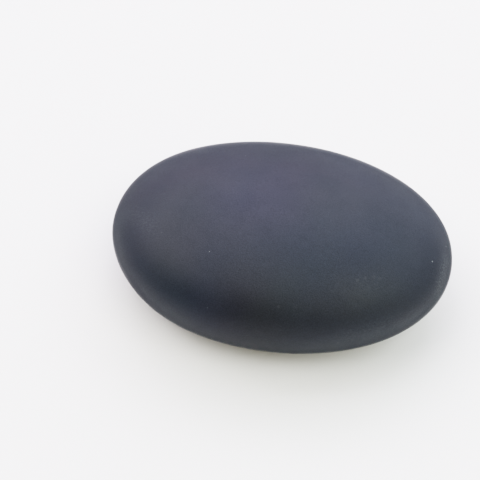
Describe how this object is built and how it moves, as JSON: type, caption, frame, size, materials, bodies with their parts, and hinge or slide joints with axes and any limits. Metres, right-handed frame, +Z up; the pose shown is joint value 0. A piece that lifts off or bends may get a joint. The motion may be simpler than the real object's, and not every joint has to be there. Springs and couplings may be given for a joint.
{
  "type": "river pebble",
  "caption": "Water-worn oval pebble of dark, fine-grained stone, smooth all over, with a flattened underside that it rests on.",
  "frame": {"origin": "on the surface that the pebble rests on, under the middle of its outline", "axes": "+X along the pebble's length, towards its slightly narrower end; +Y across its width; +Z up through its thickness"},
  "size_m": [0.12, 0.086, 0.043],
  "materials": {
    "stone": "fine-grained charcoal stone with a cool blue tint, worn to a smooth satin-matte surface"
  },
  "bodies": {
    "root": {"pebble": "stone"}
  },
  "joints": []
}
